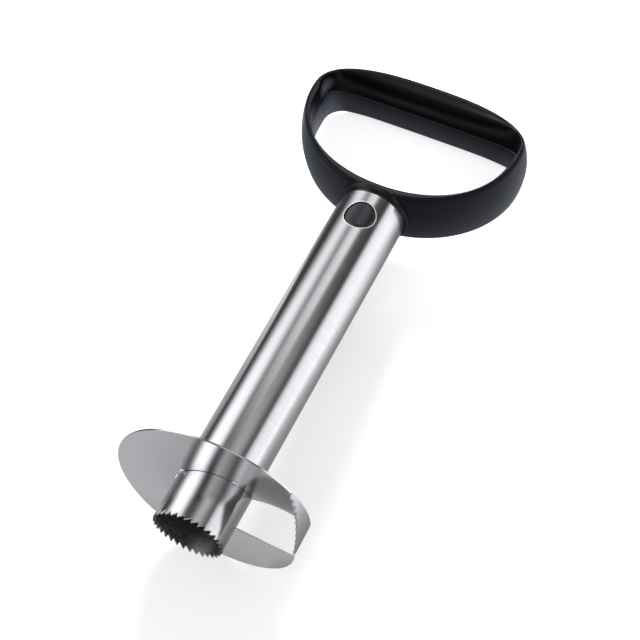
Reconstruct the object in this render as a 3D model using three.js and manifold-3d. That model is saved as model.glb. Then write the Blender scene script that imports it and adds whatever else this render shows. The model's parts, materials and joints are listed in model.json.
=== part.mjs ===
// Pineapple slicer: a toothed core tube with a one-turn spiral blade near its lower end, and a
// D-shaped handle whose plug is held in the tube by two sprung buttons.
// Millimetres. The pieces are drawn in the tool's own frame: +Z runs up the tube from the
// blade's leading edge to the handle, +Y faces the front button, X runs across the handle.
// The whole tool is then laid down as it rests on a table, on the blade's rim and the handle.
import * as THREE from 'three';
import { mergeVertices } from 'three/addons/utils/BufferGeometryUtils.js';
import Module from 'manifold-3d';

const wasm = await Module();
wasm.setup();

// Clearances: between pieces that touch, and past the faces that a cut goes through
const seatGap = 0.3;
const overrun = 1;

// Spiral blade: one turn of sheet, with its angles in degrees from the leading edge
const bladeRadius = 43;
const bladePitch = 14.6;
const bladeTurn = 359.5;
const sheet = 0.8;
const edgeAzimuth = 184.5;
const edgeGrind = 2.6;
const edgeLand = 0.16;
const leadCorner = 1.4;
const leadCornerSteps = 4;
const trailBow = 4.5;
const trailBowReach = 14;
const trailBowSteps = 4;
const bladeStep = 4;
const radialBands = 4;

// Rim cutter: the toothed flag bent down from the trailing rim to the leading corner
const cutterStart = -36;
const cutterEnd = 1;
const cutterTeeth = 10;
const cutterToothHeight = 1;
const cutterToothTipShare = 0.35;
const cutterStartHeight = 0.9;
const cutterCorner = 1.2;
const cutterCornerSteps = 3;
const cutterGrind = 0.6;
const notchWidth = 0.6;
const notchDepth = 2.2;

// Weld spots between the blade and the tube
const weldAzimuths = [36, 126, 216, 305];
const weldRadius = 1.15;
const weldHeightShare = 0.7;
const weldInsetShare = 0.35;
const weldGap = 0.12;
const weldSides = 10;

// Core tube
const tubeRadius = 16;
const tubeWall = 1;
const tubeBelowEdge = 12.4;
const toothCount = 32;
const toothHeight = 1.9;
const toothTipShare = 0.1;
const toothMidShare = 0.55;
const holeRadius = 7.2;
const holeSides = 40;
const roundSides = 72;

// Handle: its collar on the tube, and the outline of its D
const collarFace = 168.3;
const socketDepth = 3;
const collarWall = 1.3;
const collarHeight = 5.4;
const collarEdge = 0.5;
const loopSink = 0.6;
const loopHalfWidth = 55;
const loopDepth = 48;
const loopRise = 23.9;
const baseThickness = 8;
const sideThickness = 5.2;
const barThickness = 11.2;
const outerLowShape = 2;
const outerHighShape = 2.62;
const innerLowShape = 2.3;
const innerHighShape = 6.5;
const loopSteps = 80;
const bandHalf = 15;
const roundSteps = 4;

// Grip cover: the soft band round the outside of the D
const coverThickness = 3;
const coverSetBack = 0.25;
const coverCrown = 2;
const coverCrownBands = 8;
const coverEdgeDepth = 0.7;
const coverEdgeReach = 1.5;
const keyHalf = 7;
const keyHeight = 0.8;

// Handle core: the hard inner D, with the neck and plug below it
const coreCrease = 0.4;
const creaseOffset = 1.3;
const coreRimFlat = 0.6;
const coreRoundShare = 0.75;
const coreRoundLimit = 4.4;
const plugClearance = 0.4;
const plugReach = 28.3;
const plugChamfer = 1.2;
const neckHalf = 10;
const neckCover = 1;

// Buttons and their springs, measured outwards from the tube's axis
const buttonDrop = 13.9;
const buttonClearance = 0.3;
const buttonInset = 0.1;
const flangeStep = 1.4;
const flangeThickness = 1.5;
const lipLevelShare = 0.75;
const webHalf = 3;
const pilotRadius = 1.6;
const pilotLength = 1.4;
const coilRadius = 2.4;
const coilWire = 0.45;
const coilTurns = 3;
const coilSteps = 8;
const coilSides = 5;
const coilBend = 0.5;
const coilBendSteps = 3;

// Sizes worked out from the ones above
const tubeBore = tubeRadius - tubeWall;
const tubeEnd = collarFace + socketDepth;
const bladeBore = tubeRadius + seatGap;
const socketRadius = tubeRadius + seatGap;
const collarRadius = socketRadius + collarWall;
const plugRadius = tubeBore - plugClearance;
const plugEnd = collarFace - plugReach;
const buttonLevel = collarFace - buttonDrop;
const buttonRadius = holeRadius - buttonClearance;
const flangeRadius = buttonRadius + flangeStep;
const lipLevel = plugRadius * lipLevelShare;
const loopMiddle = collarFace - loopSink + loopDepth;
const coreDepth = coverThickness + seatGap;
const toolTop = loopMiddle + loopRise;

const steel = new THREE.MeshStandardMaterial({ color: 0xb9bbbe, roughness: 0.28, metalness: 1 });
const softBlack = new THREE.MeshStandardMaterial({ color: 0x26272b, roughness: 0.62, metalness: 0 });
const hardBlack = new THREE.MeshStandardMaterial({ color: 0x0c0c0e, roughness: 0.2, metalness: 0 });
const buttonGrey = new THREE.MeshStandardMaterial({ color: 0x34353b, roughness: 0.5, metalness: 0 });
const springSteel = new THREE.MeshStandardMaterial({ color: 0xa9abae, roughness: 0.35, metalness: 1 });

const radians = THREE.MathUtils.degToRad;

// A point given by its distance from the tube's axis, its azimuth in degrees and its height
function polar(radius, azimuth, height) {
  const angle = radians(azimuth);
  return new THREE.Vector3(radius * Math.cos(angle), radius * Math.sin(angle), height);
}

// Shares from 0 to 1 in even steps
function evenShares(steps) {
  return Array.from({ length: steps + 1 }, (unused, i) => i / steps);
}

// Join shared corners, drop flattened triangles and turn the faces outwards
function closedForm(geometry) {
  geometry.deleteAttribute('normal');
  geometry.deleteAttribute('uv');
  const merged = mergeVertices(geometry);
  const position = merged.attributes.position;
  const corners = [new THREE.Vector3(), new THREE.Vector3(), new THREE.Vector3()];
  const kept = [];
  let volume = 0;
  for (let i = 0; i < merged.index.count; i += 3) {
    const face = [0, 1, 2].map((k) => merged.index.getX(i + k));
    if (new Set(face).size === 3) {
      face.forEach((vertex, k) => corners[k].fromBufferAttribute(position, vertex));
      volume += corners[0].dot(corners[1].clone().cross(corners[2]));
      kept.push(...face);
    }
  }
  merged.setIndex(volume < 0 ? kept.reverse() : kept);
  return merged;
}

// Skin a row of closed outlines with as many points each; an open row gets flat ends
function loft(sections, closed = false) {
  const sides = sections[0].length;
  const last = (sections.length - 1) * sides;
  const index = [];
  for (let row = 0; row < sections.length - (closed ? 0 : 1); row += 1) {
    const near = row * sides;
    const far = ((row + 1) % sections.length) * sides;
    for (let k = 0; k < sides; k += 1) {
      const next = (k + 1) % sides;
      index.push(near + k, near + next, far + next, near + k, far + next, far + k);
    }
  }
  let low = 0;
  let high = sides - 1;
  while (!closed && high - low > 1) {
    index.push(high, low + 1, low, last + low, last + low + 1, last + high);
    low += 1;
    if (high - low > 1) {
      index.push(high, high - 1, low, last + low, last + high - 1, last + high);
      high -= 1;
    }
  }
  const geometry = new THREE.BufferGeometry();
  const numbers = sections.flat().flatMap((point) => point.toArray());
  geometry.setAttribute('position', new THREE.Float32BufferAttribute(numbers, 3));
  geometry.setIndex(index);
  return closedForm(geometry);
}

// Turn a profile of [radius, height] points round the Y axis
function turned(profile, sides) {
  const points = profile.map(([radius, height]) => new THREE.Vector2(radius, height));
  return closedForm(new THREE.LatheGeometry(points, sides));
}

// A round bar along Z between two heights
function bar(radius, low, high, sides = roundSides) {
  const geometry = new THREE.CylinderGeometry(radius, radius, high - low, sides);
  geometry.rotateX(Math.PI / 2);
  geometry.translate(0, 0, (low + high) / 2);
  return geometry;
}

// A block given by its lowest and highest corners
function block(low, high) {
  const geometry = new THREE.BoxGeometry(high[0] - low[0], high[1] - low[1], high[2] - low[2]);
  geometry.translate((low[0] + high[0]) / 2, (low[1] + high[1]) / 2, (low[2] + high[2]) / 2);
  return geometry;
}

// A solid that can be joined to others and cut by them
function solidOf(geometry) {
  const form = closedForm(geometry);
  const vertProperties = new Float32Array(form.attributes.position.array);
  const triVerts = new Uint32Array(form.index.array);
  return new wasm.Manifold(new wasm.Mesh({ numProp: 3, vertProperties, triVerts }));
}

function geometryOf(solid) {
  const mesh = solid.getMesh();
  const geometry = new THREE.BufferGeometry();
  geometry.setAttribute('position', new THREE.Float32BufferAttribute(mesh.vertProperties, 3));
  geometry.setIndex(Array.from(mesh.triVerts));
  return geometry;
}

// The blade's sheet: radial lines that climb as they turn, thin at the ground leading edge
function bladeHeight(turn) {
  return bladePitch * turn / 360;
}

function rimRadius(turn) {
  const along = bladeRadius * radians(turn);
  const short = Math.max(leadCorner - along, 0);
  return bladeRadius - leadCorner + Math.sqrt(leadCorner ** 2 - short ** 2);
}

function bladeSection(turn) {
  const along = bladeRadius * radians(turn);
  const thickness = Math.min(sheet, edgeLand + (sheet - edgeLand) * along / edgeGrind);
  const rim = rimRadius(turn);
  const bowing = Math.max(turn - bladeTurn + trailBowReach, 0) / trailBowReach;
  const lower = evenShares(radialBands).map((share) => {
    const radius = bladeBore + (rim - bladeBore) * share;
    const bow = bowing * trailBow * (1 - (2 * share - 1) ** 2);
    const at = turn - THREE.MathUtils.radToDeg(bow / radius);
    return polar(radius, edgeAzimuth + at, bladeHeight(at) - sheet / 2);
  });
  const upper = lower.map((point) => point.clone().add(new THREE.Vector3(0, 0, thickness)));
  return [...lower, ...upper.reverse()];
}

function bladeSheet() {
  const cornerTurn = THREE.MathUtils.radToDeg(leadCorner / bladeRadius);
  const grindTurn = THREE.MathUtils.radToDeg(edgeGrind / bladeRadius);
  const bowTurn = bladeTurn - trailBowReach;
  const plainSteps = Math.ceil((bowTurn - grindTurn) / bladeStep);
  const turns = [
    ...evenShares(leadCornerSteps).map((share) => cornerTurn * (1 - Math.cos(share * Math.PI / 2))),
    ...evenShares(plainSteps).map((share) => grindTurn + (bowTurn - grindTurn) * share),
    ...evenShares(trailBowSteps).slice(1).map((share) => bowTurn + trailBowReach * share),
  ];
  return loft(turns.map(bladeSection));
}

// The rim cutter: its upper edge follows the trailing rim, its toothed edge runs straight down
// to the leading corner and is ground from outside
function cutterSection(turn, tooth) {
  const span = cutterEnd - cutterStart;
  const share = (turn - cutterStart) / span;
  const along = bladeRadius * radians(cutterEnd - turn);
  const short = Math.max(cutterCorner - along, 0);
  const rounding = cutterCorner - Math.sqrt(cutterCorner ** 2 - short ** 2);
  const top = bladeHeight(360 + turn) + sheet / 2 - rounding;
  const startFoot = bladeHeight(360 + cutterStart) + sheet / 2 - cutterStartHeight;
  const endFoot = -sheet / 2;
  const foot = startFoot + (endFoot - startFoot) * share - tooth * cutterToothHeight;
  const inner = bladeRadius - sheet;
  const azimuth = edgeAzimuth + turn;
  return [
    polar(inner, azimuth, foot),
    polar(bladeRadius, azimuth, foot + cutterGrind),
    polar(bladeRadius, azimuth, top),
    polar(inner, azimuth, top),
  ];
}

function rimCutter() {
  const cornerTurn = THREE.MathUtils.radToDeg(cutterCorner / bladeRadius);
  const toothSpan = (cutterEnd - cornerTurn - cutterStart) / cutterTeeth;
  const sections = [];
  for (let i = 0; i < cutterTeeth; i += 1) {
    const root = cutterStart + i * toothSpan;
    sections.push(cutterSection(root, 0));
    sections.push(cutterSection(root + toothSpan * cutterToothTipShare, 1));
  }
  evenShares(cutterCornerSteps).forEach((share) => {
    const turn = cutterEnd - cornerTurn * (1 - Math.sin(share * Math.PI / 2));
    sections.push(cutterSection(turn, 0));
  });
  return loft(sections);
}

// The slit where the bend of the rim cutter begins
function reliefNotch() {
  const half = notchWidth / 2;
  const level = bladeHeight(360 + cutterStart);
  const reach = sheet + overrun;
  const slit = block(
    [bladeRadius - notchDepth, -half, level - reach],
    [bladeRadius + overrun, half, level + reach],
  );
  slit.rotateZ(radians(edgeAzimuth + cutterStart) - notchWidth / bladeRadius);
  return slit;
}

function weldSpot(turn) {
  const spot = new THREE.SphereGeometry(weldRadius, weldSides, weldSides);
  spot.scale(1, 1, weldHeightShare);
  const place = polar(
    bladeBore + weldRadius * weldInsetShare,
    edgeAzimuth + turn,
    bladeHeight(turn) - sheet / 2,
  );
  spot.translate(place.x, place.y, place.z);
  return spot;
}

function spiralBlade() {
  const keepOff = bar(tubeRadius + weldGap, -tubeBelowEdge, bladePitch + overrun);
  let blade = solidOf(bladeSheet()).add(solidOf(rimCutter()));
  blade = blade.subtract(solidOf(reliefNotch()));
  weldAzimuths.forEach((turn) => {
    blade = blade.add(solidOf(weldSpot(turn)));
  });
  return geometryOf(blade.subtract(solidOf(keepOff)));
}

// The core tube, with saw teeth whose steep sides face the way that the tool is turned
function coreTube() {
  const pitch = 360 / toothCount;
  const root = -tubeBelowEdge + toothHeight;
  const rise = (toothMidShare - toothTipShare) / (1 - toothTipShare);
  const stations = [
    [0, root],
    [toothTipShare, -tubeBelowEdge],
    [toothMidShare, -tubeBelowEdge + toothHeight * rise],
  ];
  const sections = [];
  for (let i = 0; i < toothCount; i += 1) {
    stations.forEach(([share, foot]) => {
      const azimuth = (i + share) * pitch;
      sections.push([
        polar(tubeBore, azimuth, foot),
        polar(tubeRadius, azimuth, foot),
        polar(tubeRadius, azimuth, tubeEnd),
        polar(tubeBore, azimuth, tubeEnd),
      ]);
    });
  }
  const length = 2 * (tubeRadius + overrun);
  const holes = new THREE.CylinderGeometry(holeRadius, holeRadius, length, holeSides);
  holes.translate(0, 0, buttonLevel);
  return geometryOf(solidOf(loft(sections, true)).subtract(solidOf(holes)));
}

// The D's outlines: two half ovals, lower and upper, that share their widest level
const outerLoop = {
  halfWidth: loopHalfWidth,
  low: { reach: loopDepth, shape: outerLowShape },
  high: { reach: loopRise, shape: outerHighShape },
};
const innerLoop = {
  halfWidth: loopHalfWidth - sideThickness,
  low: { reach: loopDepth - baseThickness, shape: innerLowShape },
  high: { reach: loopRise - barThickness, shape: innerHighShape },
};

function loopPoint(loop, angle, inset = 0) {
  const across = Math.cos(angle);
  const up = Math.sin(angle);
  const { reach, shape } = up < 0 ? loop.low : loop.high;
  const size = (Math.abs(across) ** shape + Math.abs(up) ** shape) ** (-1 / shape);
  const point = new THREE.Vector2(loop.halfWidth * across * size, reach * up * size);
  const outward = new THREE.Vector2(
    Math.sign(across) * (Math.abs(across) * size) ** (shape - 1) / loop.halfWidth,
    Math.sign(up) * (Math.abs(up) * size) ** (shape - 1) / reach,
  );
  return point.addScaledVector(outward.normalize(), -inset);
}

const loopAngles = evenShares(loopSteps).slice(1).map((share) => share * 2 * Math.PI);

// An outline of the outer D, set in by a depth and placed at a distance across the band
function loopOutline(across, inset) {
  return loopAngles.map((angle) => {
    const point = loopPoint(outerLoop, angle, inset);
    return new THREE.Vector3(point.x, across, loopMiddle + point.y);
  });
}

function loopSolid(stations) {
  return solidOf(loft(stations.map(([across, inset]) => loopOutline(across, inset))));
}

// The space that the handle's core takes inside the grip cover, with its key all round
function coreSpace() {
  const reach = collarRadius + overrun;
  const keyReach = keyHalf + seatGap;
  const keyInset = coverThickness - keyHeight;
  return loopSolid([[-reach, coverThickness], [reach, coverThickness]])
    .add(loopSolid([[-keyReach, keyInset], [keyReach, keyInset]]));
}

// The room that the tube's upper end takes in the handle
function tubeRoom() {
  return solidOf(bar(socketRadius, collarFace - loopSink - overrun, tubeEnd + seatGap));
}

function gripCover() {
  const half = bandHalf - coverSetBack;
  const flat = half - coverEdgeReach;
  const crown = (across) => coverCrown * (across / half) ** 2;
  const edge = evenShares(roundSteps).slice(1).map((share) => {
    const angle = share * Math.PI / 2;
    const across = flat + coverEdgeReach * Math.sin(angle);
    return [across, crown(across) + coverEdgeDepth * (1 - Math.cos(angle))];
  });
  const middle = evenShares(coverCrownBands).map((share) => {
    const across = flat * (2 * share - 1);
    return [across, crown(across)];
  });
  const mirrored = edge.map(([across, inset]) => [-across, inset]).reverse();
  const outside = loopSolid([...mirrored, ...middle, ...edge]);
  const rounding = evenShares(roundSteps).map((share) => [
    collarRadius - collarEdge * (1 - Math.sin(share * Math.PI / 2)),
    collarFace + collarEdge * (1 - Math.cos(share * Math.PI / 2)),
  ]);
  const collarTop = collarFace + collarHeight;
  const collar = turned([[0, collarFace], ...rounding, [collarRadius, collarTop], [0, collarTop]],
    roundSides);
  collar.rotateX(Math.PI / 2);
  const neckRoom = bar(plugRadius + seatGap, collarFace, loopMiddle);
  const neckReach = neckHalf + seatGap;
  const neckSlot = block([-loopHalfWidth, -neckReach, collarFace], [loopHalfWidth, neckReach, loopMiddle]);
  return geometryOf(outside
    .add(solidOf(collar))
    .subtract(coreSpace())
    .subtract(tubeRoom())
    .subtract(solidOf(neckRoom).intersect(solidOf(neckSlot))));
}

// The hand hole: its wall has a faint crease half way across and rounds off to both rims
function handHole() {
  const steps = evenShares(roundSteps);
  const side = (turn) => (angle) => {
    const inner = loopPoint(innerLoop, angle);
    const outer = loopPoint(outerLoop, angle, coreDepth);
    const wall = outer.distanceTo(inner);
    const reach = Math.min(coreRoundShare * wall, coreRoundLimit);
    const across = bandHalf - reach + reach * Math.sin(turn);
    const depth = (wall - coreRimFlat) * (1 - Math.cos(turn));
    return { across, point: inner.lerp(outer, depth / wall) };
  };
  const outline = (place) => loopAngles.map((angle) => {
    const { across, point } = place(angle);
    return new THREE.Vector3(point.x, across, loopMiddle + point.y);
  });
  const crease = outline((angle) => ({
    across: creaseOffset,
    point: loopPoint(innerLoop, angle, coreCrease),
  }));
  const front = steps.map((share) => outline(side(share * Math.PI / 2)));
  const pastRim = front[front.length - 1].map((point) => point.clone().setY(bandHalf + overrun));
  front.push(pastRim);
  const back = front.map((section) => section.map((point) => point.clone().setY(-point.y)));
  return solidOf(loft([...back.reverse(), crease, ...front]));
}

// A stepped pocket in the plug, and the form of the button that slides in it, both along +Y
function buttonPocket() {
  const chamber = flangeRadius + seatGap;
  const bore = buttonRadius + buttonClearance;
  const mouth = tubeRadius + overrun;
  const profile = [[0, webHalf], [chamber, webHalf], [chamber, lipLevel], [bore, lipLevel],
    [bore, mouth], [0, mouth]];
  return turned(profile, holeSides).translate(0, 0, buttonLevel);
}

const flangeTop = lipLevel - seatGap;
const flangeFoot = flangeTop - flangeThickness;

function button() {
  const pilotFoot = flangeFoot - pilotLength;
  const mouth = tubeRadius + overrun;
  const profile = [[0, pilotFoot], [pilotRadius, pilotFoot], [pilotRadius, flangeFoot],
    [flangeRadius, flangeFoot], [flangeRadius, flangeTop], [buttonRadius, flangeTop],
    [buttonRadius, mouth], [0, mouth]];
  const blank = turned(profile, holeSides).translate(0, 0, buttonLevel);
  const follow = bar(tubeRadius - buttonInset, plugEnd, tubeEnd, 2 * roundSides);
  return geometryOf(solidOf(blank).intersect(solidOf(follow)));
}

function handleCore() {
  const channels = loopSolid([[-bandHalf, coreDepth], [bandHalf, coreDepth]])
    .add(loopSolid([[-keyHalf, coreDepth - keyHeight], [keyHalf, coreDepth - keyHeight]]));
  const profile = [[0, plugEnd], [plugRadius - plugChamfer, plugEnd],
    [plugRadius, plugEnd + plugChamfer], [plugRadius, tubeEnd], [0, tubeEnd]];
  const plug = turned(profile, roundSides).rotateX(Math.PI / 2);
  const neckTop = loopMiddle - innerLoop.low.reach - neckCover;
  const neckBar = bar(plugRadius, tubeEnd - overrun, neckTop);
  const neckFlats = block([-plugRadius, -neckHalf, plugEnd], [plugRadius, neckHalf, loopMiddle]);
  const frontPocket = buttonPocket();
  const backPocket = buttonPocket().rotateZ(Math.PI);
  return geometryOf(channels
    .subtract(handHole())
    .subtract(tubeRoom())
    .add(solidOf(neckBar).intersect(solidOf(neckFlats)))
    .add(solidOf(plug))
    .subtract(solidOf(frontPocket))
    .subtract(solidOf(backPocket)));
}

// A coil along +Y: straight ends, a tight bend into the turns, and the turns themselves
const coilFoot = webHalf + seatGap;
const coilHeight = flangeFoot - seatGap - coilFoot;

function coilStations() {
  const endHeight = coilWire + coilBend;
  const pitch = (coilHeight - 2 * endHeight) / coilTurns;
  const slope = Math.atan2(pitch, 2 * Math.PI * coilRadius);
  const bend = evenShares(coilBendSteps).map((share) => {
    const angle = share * (Math.PI / 2 - slope);
    return {
      turn: coilBend * (1 - Math.cos(angle)) / coilRadius,
      height: coilWire + coilBend * Math.sin(angle),
      lean: Math.PI / 2 - angle,
    };
  });
  const start = bend[bend.length - 1];
  const span = 2 * Math.PI * coilTurns;
  const turns = evenShares(coilTurns * coilSteps).slice(1, -1).map((share) => ({
    turn: start.turn + span * share,
    height: start.height + (coilHeight - 2 * start.height) * share,
    lean: slope,
  }));
  const foot = { turn: 0, height: 0, lean: Math.PI / 2 };
  const lower = [foot, ...bend];
  const upper = lower.map(({ turn, height, lean }) => ({
    turn: 2 * start.turn + span - turn,
    height: coilHeight - height,
    lean,
  }));
  return [...lower, ...turns, ...upper.reverse()];
}

function coilCentre({ turn, height }) {
  return new THREE.Vector3(coilRadius * Math.cos(turn), coilFoot + height, coilRadius * Math.sin(turn));
}

function spring() {
  const sections = coilStations().map((station) => {
    const centre = coilCentre(station);
    const radial = new THREE.Vector3(Math.cos(station.turn), 0, Math.sin(station.turn));
    const along = new THREE.Vector3(-Math.sin(station.turn), 0, Math.cos(station.turn))
      .multiplyScalar(Math.cos(station.lean))
      .add(new THREE.Vector3(0, Math.sin(station.lean), 0));
    const beside = along.clone().cross(radial);
    return evenShares(coilSides).slice(1).map((share) => centre.clone()
      .addScaledVector(radial, coilWire / 2 * Math.cos(share * 2 * Math.PI))
      .addScaledVector(beside, coilWire / 2 * Math.sin(share * 2 * Math.PI)));
  });
  return loft(sections).translate(0, 0, buttonLevel);
}

// The least clear distance between a coil's turns, measured between points half a turn apart
function coilLeastGap() {
  const stations = coilStations();
  let least = coilHeight;
  stations.forEach((one, i) => {
    stations.slice(i + 1).filter((other) => other.turn - one.turn > Math.PI).forEach((other) => {
      least = Math.min(least, coilCentre(one).distanceTo(coilCentre(other)) - coilWire);
    });
  });
  return least;
}

console.log(`spring: least gap between turns ${coilLeastGap().toFixed(2)} mm`);

function piece(name, geometry, material) {
  const mesh = new THREE.Mesh(geometry, material);
  mesh.name = name;
  return mesh;
}

const blade = piece('spiral_blade', spiralBlade(), steel);
const core = piece('handle_core', handleCore(), hardBlack);
const cover = piece('grip_cover', gripCover(), softBlack);

const tool = new THREE.Group();
tool.add(
  piece('core_tube', coreTube(), steel),
  blade,
  core,
  cover,
  piece('front_button', button(), buttonGrey),
  piece('back_button', button().rotateZ(Math.PI), buttonGrey),
  piece('front_spring', spring(), springSteel),
  piece('back_spring', spring().rotateZ(Math.PI), springSteel),
);

// The lean, in radians, at which the tool lies on its lowest points: the blade's rim at one
// end, the handle at the other. Heights are along +Y until the tool is laid down.
function cornersOf(mesh) {
  const position = mesh.geometry.attributes.position;
  return Array.from({ length: position.count }, (unused, i) => (
    new THREE.Vector3().fromBufferAttribute(position, i)));
}

function restingLean() {
  const rim = cornersOf(blade);
  const handle = [...cornersOf(core), ...cornersOf(cover)];
  let lean = Math.atan2(bladeRadius - bandHalf, toolTop);
  evenShares(2).forEach(() => {
    const height = (point) => point.y * Math.cos(lean) - point.z * Math.sin(lean);
    const rest = rim.reduce((low, point) => (height(point) < height(low) ? point : low));
    lean = Math.min(...handle.map((point) => Math.atan2(point.y - rest.y, point.z - rest.z)));
  });
  return lean;
}

tool.rotation.x = Math.PI / 2 + restingLean();

const pineappleSlicer = new THREE.Group();
pineappleSlicer.rotation.z = Math.PI;
pineappleSlicer.add(tool);

// The origin is under the middle of the tool, on the table
const bounds = new THREE.Box3().setFromObject(pineappleSlicer, true);
const middle = bounds.getCenter(new THREE.Vector3());
pineappleSlicer.position.set(-middle.x, -middle.y, -bounds.min.z);

export default pineappleSlicer;
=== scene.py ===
"""Pineapple slicer: its finished pieces, their materials and the studio that they lie in.

The pieces are drawn in millimetres in the tool's own frame, where +Z runs up the tube from the
blade's leading edge to the handle, +Y faces the front button and X runs across the handle. Each
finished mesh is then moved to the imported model's frame, in metres, by TOOL_TO_FRAME.
"""
import json
import math

import bmesh
import bpy
from bpy.props import FloatProperty, FloatVectorProperty, IntProperty, PointerProperty
from mathutils import Euler, Matrix, Vector


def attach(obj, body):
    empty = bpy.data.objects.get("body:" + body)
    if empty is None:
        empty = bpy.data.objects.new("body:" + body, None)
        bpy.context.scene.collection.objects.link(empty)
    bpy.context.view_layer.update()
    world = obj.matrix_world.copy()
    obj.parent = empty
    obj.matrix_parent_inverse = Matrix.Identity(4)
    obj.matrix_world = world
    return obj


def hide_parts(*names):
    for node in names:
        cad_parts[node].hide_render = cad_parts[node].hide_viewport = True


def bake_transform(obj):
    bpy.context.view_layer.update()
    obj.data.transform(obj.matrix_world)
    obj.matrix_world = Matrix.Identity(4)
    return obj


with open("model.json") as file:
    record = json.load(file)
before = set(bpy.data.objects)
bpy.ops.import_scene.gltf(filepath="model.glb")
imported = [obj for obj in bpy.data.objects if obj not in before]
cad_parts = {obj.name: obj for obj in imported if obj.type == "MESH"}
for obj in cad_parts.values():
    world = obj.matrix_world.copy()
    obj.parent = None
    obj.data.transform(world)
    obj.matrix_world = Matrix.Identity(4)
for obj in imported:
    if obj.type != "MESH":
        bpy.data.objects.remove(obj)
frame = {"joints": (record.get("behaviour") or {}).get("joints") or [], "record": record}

bl_info = {
    "name": "Pineapple Slicer",
    "version": (1, 0, 0),
    "blender": (4, 5, 0),
    "location": "View3D > Sidebar > Slicer",
    "description": "Builds the pieces of a pineapple slicer and the studio around it",
    "category": "Object",
}

MM = 0.001

# The model lies on the table: its lean comes from the front button's travel, and its place
# from the middle of the collar's end face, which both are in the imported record.
PRESS = Vector(next(j["axis"] for j in frame["joints"] if j["name"] == "front_button_press"))
COLLAR_SPOT = Vector(frame["record"]["mounts"][0]["pos_m"])
COLLAR_SPOT_MM = Vector((0, 16.7, 168.3))
TOOL_LEAN = math.atan2(-PRESS.y, -PRESS.z)
TOOL_TURN = Euler((math.pi / 2 + TOOL_LEAN, 0, math.pi))
TOOL_PLACE = COLLAR_SPOT - TOOL_TURN.to_matrix() @ (COLLAR_SPOT_MM * MM)
TOOL_TO_FRAME = (
    Matrix.Translation(TOOL_PLACE) @ TOOL_TURN.to_matrix().to_4x4() @ Matrix.Scale(MM, 4)
)

# The camera, in the tool's frame
CAMERA_PLACE_MM = Vector((-195.24, 618.75, -249.37))
CAMERA_TURN_DEG = (122.233, -25.82, -178.145)
CAMERA_LENS = 94.06

SEAT_GAP = 0.3
CROWN_STEPS = 8


# Sizes and colours


def sized(name, description, default, **limits):
    """A size in mm."""
    return FloatProperty(name=name, description=description + ", in mm", default=default, **limits)


def angled(name, description, default, **limits):
    """An angle in degrees."""
    return FloatProperty(
        name=name, description=description + ", in degrees", default=default, **limits)


def counted(name, description, default):
    """A whole number."""
    return IntProperty(name=name, description=description, default=default, min=1)


def coloured(name, description, default):
    """A colour, as linear red, green and blue."""
    return FloatVectorProperty(
        name=name, description=description, subtype="COLOR", default=default, min=0.0, max=1.0)


class SlicerBladeSizes(bpy.types.PropertyGroup):
    """Sizes of the spiral blade and its rim cutter"""

    radius: sized("Radius", "Radius of the blade's rim", 43.0, min=30.0)
    pitch: sized("Pitch", "Rise of the blade in one turn", 14.6, min=5.0)
    turn: angled("Turn", "Angle from the leading to the trailing edge", 359.5, max=359.7)
    sheet: sized("Sheet", "Thickness of the sheet steel", 0.8, min=0.3)
    edge_azimuth: angled("Edge azimuth", "Azimuth of the leading edge", 184.5)
    grind: sized("Grind", "Width of the ground leading edge", 2.6)
    land: sized("Land", "Thickness left at the ground edge", 0.16)
    cutter_start: angled("Cutter start", "Angle at which the rim cutter begins", -36.0)
    cutter_end: angled("Cutter end", "Angle at which the rim cutter ends", 1.0)
    cutter_teeth: counted("Cutter teeth", "Number of teeth on the rim cutter", 10)
    cutter_tooth_height: sized("Cutter tooth height", "Depth of the rim cutter's teeth", 1.0)


class SlicerTubeSizes(bpy.types.PropertyGroup):
    """Sizes of the core tube"""

    radius: sized("Radius", "Outer radius of the tube", 16.0, min=5.0)
    wall: sized("Wall", "Wall thickness of the tube", 1.0, min=0.3)
    foot: sized("Foot", "Height of the tooth tips", -12.4)
    end: sized("End", "Height of the tube's end in the collar", 171.3)
    teeth: counted("Teeth", "Number of teeth on the tube's foot", 32)
    tooth_height: sized("Tooth height", "Depth of the tube's teeth", 1.9)
    hole_radius: sized("Hole radius", "Radius of the button holes", 7.2)
    hole_level: sized("Hole level", "Height of the button holes", 154.4)
    hole_chamfer: sized("Hole chamfer", "Width of the holes' chamfer", 0.42)


class SlicerHandleSizes(bpy.types.PropertyGroup):
    """Sizes of the D-shaped handle"""

    half_width: sized("Half width", "Half of the D's width", 55.0)
    depth: sized("Depth", "Depth of the D below its widest level", 48.0)
    rise: sized("Rise", "Height of the D above its widest level", 23.9)
    middle: sized("Middle", "Height of the D's widest level", 215.7)
    base: sized("Base", "Thickness of the D's base", 8.0)
    side: sized("Side", "Thickness of the D's sides", 5.2)
    bar: sized("Bar", "Thickness of the D's bar", 11.2)
    band_half: sized("Band half", "Half of the band's width", 15.0)
    cover: sized("Cover", "Thickness of the soft cover", 3.0)
    collar_face: sized("Collar face", "Height of the collar's end face", 168.3)
    collar_wall: sized("Collar wall", "Wall thickness of the collar", 1.3)
    collar_height: sized("Collar height", "Height of the collar", 2.9)


class SlicerButtonSizes(bpy.types.PropertyGroup):
    """Sizes of the buttons and their springs"""

    radius: sized("Radius", "Radius of a button", 6.9)
    flange_radius: sized("Flange radius", "Radius of a button's flange", 8.3)
    flange_foot: sized("Flange foot", "Distance of the flange from the axis", 9.15)
    flange_top: sized("Flange top", "Distance of the flange's top from the axis", 10.65)
    coil_radius: sized("Coil radius", "Radius of a spring's coil", 2.4)
    wire: sized("Wire", "Diameter of the spring wire", 0.45)
    coil_turns: FloatProperty(
        name="Coil turns", description="Number of turns of a spring", default=3.0)


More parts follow.
